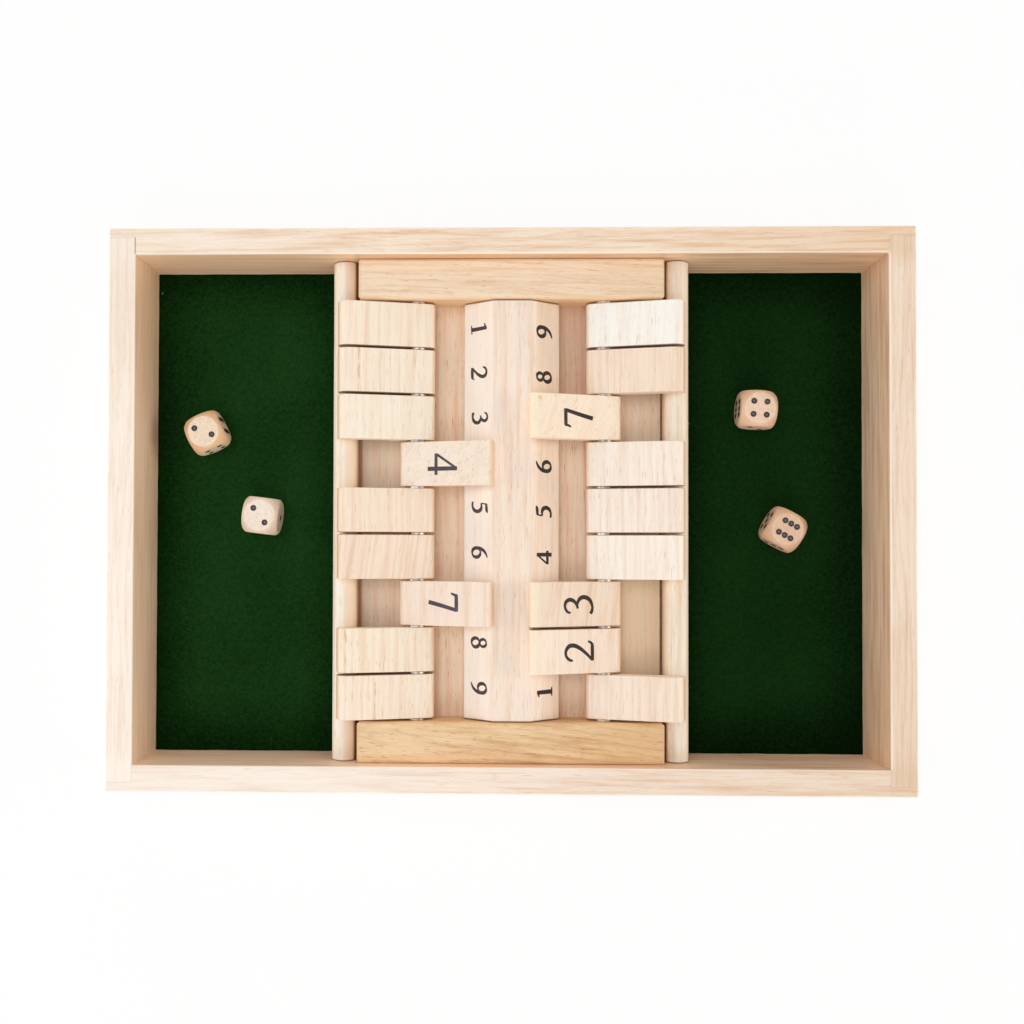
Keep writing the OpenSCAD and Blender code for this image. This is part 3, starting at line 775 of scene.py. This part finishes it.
# How far some of the bar's figures slipped towards their tops and across when they were printed,
# and how far two of them turned.
bar_tilt = {("left", 1): 0.05, ("left", 4): 0.05}
bar_slip = {("left", 1): (-0.0003, 0), ("left", 2): (-0.0002, -0.0004), ("left", 3): (0.0002, -0.0002),
            ("left", 5): (0.0002, -0.0002), ("left", 6): (0.0001, -0.0002), ("right", 1): (-0.0005, 0),
            ("right", 4): (-0.0002, -0.0006), ("right", 9): (-0.0002, 0)}
for side, row, start, pitch, sign in (("left", -0.0134, -0.0786, 0.01938, 1),
                                      ("right", -0.0143, -0.0780, 0.01939, -1)):
    marks = []
    for k in range(1, 10):
        slip = bar_slip.get((side, k), (0, 0))
        marks.append((str(k), row + slip[0], start + pitch * (k - 1) + slip[1], small,
                      bar_tilt.get((side, k), 0)))
    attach(printed(f"{side}_bar_numbers", marks, bold_hands[side], bar_inks[side], on_bar(sign)), "box")

# How far a flap's figure slipped towards the nose and across when it was printed.
flap_slip = {"left_7": (0.0005, 0), "right_7": (0.0005, 0), "right_3": (0.0004, -0.0003),
             "right_2": (0, -0.0003)}
for stock in flap_stock:
    side, number = stock.split("_")
    pivot, axes = flap_place(side, int(number))
    slip = flap_slip.get(stock, (0, 0))

    def on_flap(along, across, lift):
        own = np.stack([along, -across, half + lift + 0 * along], -1)
        return own @ axes.T + pivot

    figure = printed(f"{side}_flap_{number}_number", [(number, large_place + slip[0], slip[1], large, 0.0)],
                     light_hand, flap_inks[side], on_flap)
    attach(figure, f"{side}_flap_{number}")

# Felt: dark green wool felt cut to each tray, glued to the base panel; its cut edges
# wander a little and its top is finely uneven.


def felt_sheet(name, low, high, material, seed):
    """
    Closed sheet: a grid of the top, sinking by a square law near its edges, over a flat
    grid of the underside, both with edges that wander by a few slow sine waves.
    """
    draw = np.random.default_rng(seed)
    near_edge, step = np.array([0, 0.0001, 0.0003, 0.0006, 0.001]), 0.0011

    def stops(a, b):
        inside = np.linspace(a + 0.002, b - 0.002, int((b - a) / step))
        return np.concatenate([a + near_edge, inside, b - near_edge[::-1]])

    x, y = np.meshgrid(stops(low[0], high[0]), stops(low[1], high[1]), indexing="ij")
    edge = np.minimum(np.minimum(x - low[0], high[0] - x), np.minimum(y - low[1], high[1] - y))
    uneven = draw.normal(size=x.shape)
    for _ in range(2):
        uneven = sum((np.roll(uneven, way, axis) for way in (1, -1) for axis in (0, 1)), uneven) / 5
    top = high[2] - 0.0004 * np.clip(1 - edge / 0.0009, 0, 1) ** 2 - 0.00003 * (1 + np.clip(uneven, -1, 1))
    wave = draw.uniform(0, 6.28, 4)
    slide = 0.00008 * np.clip(1 - edge / 0.008, 0, 1)
    across = slide * (np.sin(y * 190 + wave[0]) + 0.6 * np.sin(y * 520 + wave[1])) / 1.6
    lengthways = slide * (np.sin(x * 210 + wave[2]) + 0.6 * np.sin(x * 480 + wave[3])) / 1.6
    pull = 1 - 0.0001 / (np.array(high) - np.array(low))
    middle = (np.array(low) + np.array(high)) / 2
    px = middle[0] + (x - middle[0]) * pull[0] + across
    py = middle[1] + (y - middle[1]) * pull[1] + lengthways
    points = np.stack([np.stack([px, py, top], -1), np.stack([px, py, 0 * x + low[2]], -1)])
    rows, columns = x.shape
    index = np.arange(rows * columns).reshape(rows, columns)
    rim = np.concatenate([index[:-1, 0], index[-1, :-1], index[:0:-1, -1], index[0, :0:-1]])
    ahead, under = np.roll(rim, -1), rows * columns
    faces = [face[::-1] for face in quads(rows, columns)] + quads(rows, columns, first=under)
    faces += np.stack([rim, rim + under, ahead + under, ahead], -1)[:, ::-1].tolist()
    return skin(name, points, faces, [material])


def felt_finish(name, deep, light, low, high, lint):
    """
    Matted wool: layered noise for tone and nap, with painted shade darkening it towards
    the sheet's four edges, and a pale speck of lint at the given place.
    """
    finish = Finish(name, Specular_IOR_Level=0.03, Sheen_Weight=0.01, Sheen_Roughness=0.5)
    spot = finish.spot()
    nap = finish.noise(spot, 1700.0, 3, 0.7)
    mat = finish.noise(spot, 520.0, 3, 0.6)
    drift = finish.noise(spot, 26.0)
    tone = (nap - 0.5) * 1.9 + (mat - 0.5) * 0.9 + (drift - 0.5) * 0.6 + 0.5
    x, y, _ = finish.parts(spot)
    # Painted shade: the felt is lighter only away from its edges.
    unshaded_middle = x.fade(low[0] - 0.006, low[0] + 0.03) * x.fade(high[0] + 0.006, high[0] - 0.03) \
        * y.fade(low[1] - 0.006, low[1] + 0.03) * y.fade(high[1] + 0.012, high[1] - 0.03)
    colour = finish.blend((tone + unshaded_middle * 0.62 - 0.45).most(0.0).least(1.0), paint(*deep), paint(*light))
    speck = (finish.distance(spot, (*lint, high[2])) + (mat - 0.5) * 0.0006).fade(0.0005, 0.00025)
    colour = finish.blend(speck * 0.6, colour, paint(130, 160, 118))
    finish.feed(Base_Color=colour, Roughness=nap * 0.1 + 0.88)
    finish.bump(nap * 0.6 + mat, 0.00022, 0.8)
    return finish.material


# The right felt's darker colours are painted shade of light that falls off to the right.
for side, seed, deep, light, lint in (("left", 71, (7, 32, 6), (29, 69, 26), (-0.1574, 0.0994)),
                                      ("right", 72, (4, 24, 3), (22, 54, 19), (0.0816, 0.0400))):
    low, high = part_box(f"{side}_felt")
    wool = felt_finish(f"{side} felt", deep, light, low, high, lint)
    cloth = felt_sheet(f"{side}_tray_felt", low, high, wool, seed)
    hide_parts(f"{side}_felt")
    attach(cloth, "box")

# Dice: small wooden cubes tumbled round at their edges and corners, with shallow pips
# filled with dark paint. They lie loose on the felt.
die_half, die_ball, pip_offset, pip_radius, pip_depth = 0.008, 0.0105, 0.00285, 0.00125, 0.00045


def turn_about(axis, degrees):
    """Matrix that turns points about X, Y or Z."""
    angle = np.radians(degrees)
    matrix = np.eye(3)
    i, j = [(1, 2), (2, 0), (0, 1)][axis]
    matrix[i, i] = matrix[j, j] = np.cos(angle)
    matrix[i, j], matrix[j, i] = -np.sin(angle), np.sin(angle)
    return matrix


corners_of = [(a * pip_offset, b * pip_offset) for a in (-1, 1) for b in (-1, 1)]
diagonal = [(-pip_offset, -pip_offset), (pip_offset, pip_offset)]
die_faces = [
    ([(0, 0)], np.eye(3)),
    ([(-a, b) for a, b in diagonal], turn_about(1, 90)),
    (diagonal + [(0, 0)], turn_about(0, -90)),
    (corners_of, turn_about(0, 90)),
    (corners_of + [(0, 0)], turn_about(1, -90)),
    (corners_of + [(0, -pip_offset), (0, pip_offset)], turn_about(0, 180)),
]
pip_ball = (pip_radius ** 2 + pip_depth ** 2) / (2 * pip_depth)


def die_surface(flat, pips):
    """
    One face of the tumbled cube over a flat grid of the cube's face: each point is drawn
    towards the middle to the ball's radius, with a soft smallest-of-two at the crease, and
    sinks into a ball-shaped hollow near each pip.
    """
    points = np.concatenate([flat, np.full((*flat.shape[:-1], 1), die_half)], -1)
    reach = die_ball / np.linalg.norm(points, axis=-1)
    soft = 0.045
    mix = np.clip(0.5 + 0.5 * (reach - 1) / soft, 0, 1)
    points = points * (reach * (1 - mix) + mix - soft * mix * (1 - mix))[..., None]
    for centre in pips:
        gap = np.linalg.norm(points[..., :2] - np.array(centre), axis=-1)
        hollow = np.sqrt(np.maximum(pip_ball ** 2 - gap ** 2, 0)) - (pip_ball - pip_depth)
        points[..., 2] -= np.maximum(hollow, 0) * (gap < pip_radius)
    return points


die_steps = 65
die_grid = np.linspace(-1, 1, die_steps) * die_half
flat = np.stack(np.meshgrid(die_grid, die_grid, indexing="ij"), -1)
around = np.linspace(0, 2 * np.pi, 25)[:-1]
rims = np.linspace(0.02, 1.03, 7)[:, None] * pip_radius
bowl = np.stack([rims * np.cos(around), rims * np.sin(around),
                 die_half + 0.00003 - np.maximum(
                     np.sqrt(pip_ball ** 2 - rims ** 2) - (pip_ball - pip_depth), -0.00004) + 0 * around], -1)
shell_points, bowl_points = [], []
for pips, matrix in die_faces:
    shell_points.append(die_surface(flat, pips).reshape(-1, 3) @ matrix.T)
    bowl_points += [(bowl + [a, b, 0]).reshape(-1, 3) @ matrix.T for a, b in pips]
shell_points = np.concatenate(shell_points)
shell_faces = np.concatenate([quads(die_steps, die_steps, first=k * die_steps ** 2) for k in range(6)])
_, first_of, merged = np.unique(np.round(shell_points * 1e7).astype(int), axis=0, return_index=True,
                                return_inverse=True)
shell_points, shell_faces = shell_points[first_of], merged.ravel()[shell_faces[:, ::-1]]
bowl_faces = []
for k in range(len(bowl_points)):
    start = len(shell_points) + k * rims.size * around.size
    bowl_faces += [face[::-1] for face in quads(rims.size, around.size, wrap_columns=True, first=start)]
    bowl_faces.append([start + j for j in range(around.size)][::-1])
die_points = np.concatenate([shell_points] + bowl_points)

# How far each point of a bowl lies from its middle, for the pip paint's painted glint: lighter in the middle,
# darker at the rim.
from_middle = np.concatenate([np.zeros(len(shell_points)),
                              np.tile(np.repeat(rims[:, 0] / pip_radius, around.size), len(bowl_points))])

pip_paint = Finish("pip paint", Specular_IOR_Level=0.5)
pip_noise = pip_paint.noise(pip_paint.spot(), 900.0)
rim_place = pip_paint.node("Attribute", {"attribute_name": "from_middle"}, out=2)
# Painted glint: the pip paint is lighter towards each bowl's middle.
pip_paint.feed(Base_Color=pip_paint.blend((rim_place + (pip_noise - 0.5) * 0.3).fade(0.15, 0.75),
                                          paint(112, 98, 104), paint(50, 38, 42)),
               Roughness=pip_noise * 0.2 + 0.22)
# Each die's turns, its faces' tone, that of its turned edges and how much they differ.
dice = {
    "die_1": ((0, -90, 25.7), (255, 232, 206), (236, 182, 124), 0.7),
    "die_2": ((0, -90, 173), (253, 237, 220), (242, 208, 172), 0.35),
    "die_3": ((-90, 0, -93.6), (246, 216, 190), (236, 188, 142), 0.5),
    "die_4": ((180, 0, -29.9), (237, 201, 170), (230, 180, 138), 0.4),
}
for seed, (name, (turns, tone, edge_tone, contrast)) in enumerate(dice.items(), 81):
    matrix = turn_about(2, turns[2]) @ turn_about(1, turns[1]) @ turn_about(0, turns[0])
    centre = np.array(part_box(name)).mean(0)

    def tumbled(finish, spot):
        """Sanded faces with a pale rim and browner edges and corners, by distance from the middle."""
        reach = finish.distance(spot, tuple(centre))
        rim = reach.fade(0.0100, 0.0102) * reach.fade(0.0104, 0.0102)
        return [(reach.fade(0.0102, 0.0105) * contrast, edge_tone), (rim * contrast * 0.25, (255, 246, 232))]

    die_wood = wood(f"{name} wood", tone, np.array(tone) - [24, 42, 52], 2, seed, streak_show=0.3,
                    fibre_show=1.3, cloud_show=0.6, vessel_show=0.5, marks=tumbled)
    die = skin(f"{name}_cube", die_points @ matrix.T + centre, shell_faces.tolist() + bowl_faces,
               [die_wood, pip_paint.material], sharp=1.2)
    die.data.attributes.new("from_middle", "FLOAT", "POINT").data.foreach_set("value", from_middle)
    inked = np.zeros(len(die.data.polygons), dtype=np.int32)
    inked[len(shell_faces):] = 1
    die.data.polygons.foreach_set("material_index", inked)
    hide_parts(name)
    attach(die, name)

# Studio: a plain pale floor in an even surround, under a large soft overhead lamp and
# one from the front, with a low soft lamp on each side. The camera looks straight down.
ground = Finish("pale floor", Base_Color=paint(252, 252, 252), Roughness=0.9, Specular_IOR_Level=0.1)
paths = ground.node("LightPath").socket.node.outputs
seen = sum(Wire(ground, paths[f"Is {ray} Ray"]) for ray in ("Camera", "Glossy", "Transmission")).least(1.0)
glow = ground.node("Emission", None, {"Color": (1, 1, 1, 1), "Strength": 1.0})
mixed = ground.node("MixShader", None,
                    {0: seen * 0.85, 1: Wire(ground, ground.shader.outputs[0]), 2: glow})
ground.tree.links.new(mixed.socket, ground.tree.nodes["Material Output"].inputs["Surface"])
floor_half, floor_height = 3.0, -0.0002
corners = np.array([[-1, -1], [1, -1], [1, 1], [-1, 1]]) * floor_half
floor = skin("floor", np.c_[corners, np.full(4, floor_height)], [[0, 1, 2, 3]], [ground.material])


def lamp(name, place, size, power, colour):
    """Square soft lamp at a place, aimed at the middle of the box."""
    data = bpy.data.lights.new(name, "AREA")
    data.shape, data.size, data.energy, data.color = "SQUARE", size, power, colour
    made = bpy.data.objects.new(name, data)
    made.location = place
    made.rotation_euler = (np.arctan2(np.hypot(place[0], place[1]), place[2]), 0,
                           np.arctan2(place[1], place[0]) + np.pi / 2)
    bpy.context.scene.collection.objects.link(made)


lamp("overhead_lamp", (-0.45, 0.3, 1.7), 1.2, 9.5, (0.70, 0.84, 1.0))
lamp("key_lamp", (-0.1, -0.95, 1.45), 0.7, 5, (0.85, 0.92, 1.0))
for name, place, power in (("left_lamp", (-1.5, 0, 0.42), 8.6), ("right_lamp", (1.5, 0, 0.42), 10.2),
                           ("back_lamp", (0, 1.5, 0.42), 6.4), ("front_lamp", (0, -1.5, 0.42), 7.2)):
    lamp(name, place, 0.8, power, (1.0, 0.92, 0.82))

world = bpy.data.worlds.new("surround")
bpy.context.scene.world = world
world.use_nodes = True
sky = world.node_tree.nodes["Background"]
sky.inputs["Color"].default_value = (1, 0.93, 0.84, 1)
sky.inputs["Strength"].default_value = 0.38

# Camera as fitted to the photograph, whose width, focal length and optical centre are in pixels.
camera_data = bpy.data.cameras.new("overhead_camera")
photo_px, focal_px, centre_px = 1024, 1029.07, (465.21, 528.70)
camera_data.sensor_width = 36
camera_data.lens = focal_px / photo_px * camera_data.sensor_width
camera_data.shift_x = (photo_px / 2 - centre_px[0]) / photo_px
camera_data.shift_y = (centre_px[1] - photo_px / 2) / photo_px
camera_data.clip_start = 0.01
camera = bpy.data.objects.new("overhead_camera", camera_data)
camera.location = (-0.0095888, -0.0147929, 0.4726951)
camera.rotation_euler = (0.0156, 0.0203, 0.0027)
bpy.context.scene.collection.objects.link(camera)
bpy.context.scene.camera = camera
bpy.context.scene.view_settings.view_transform = "Standard"
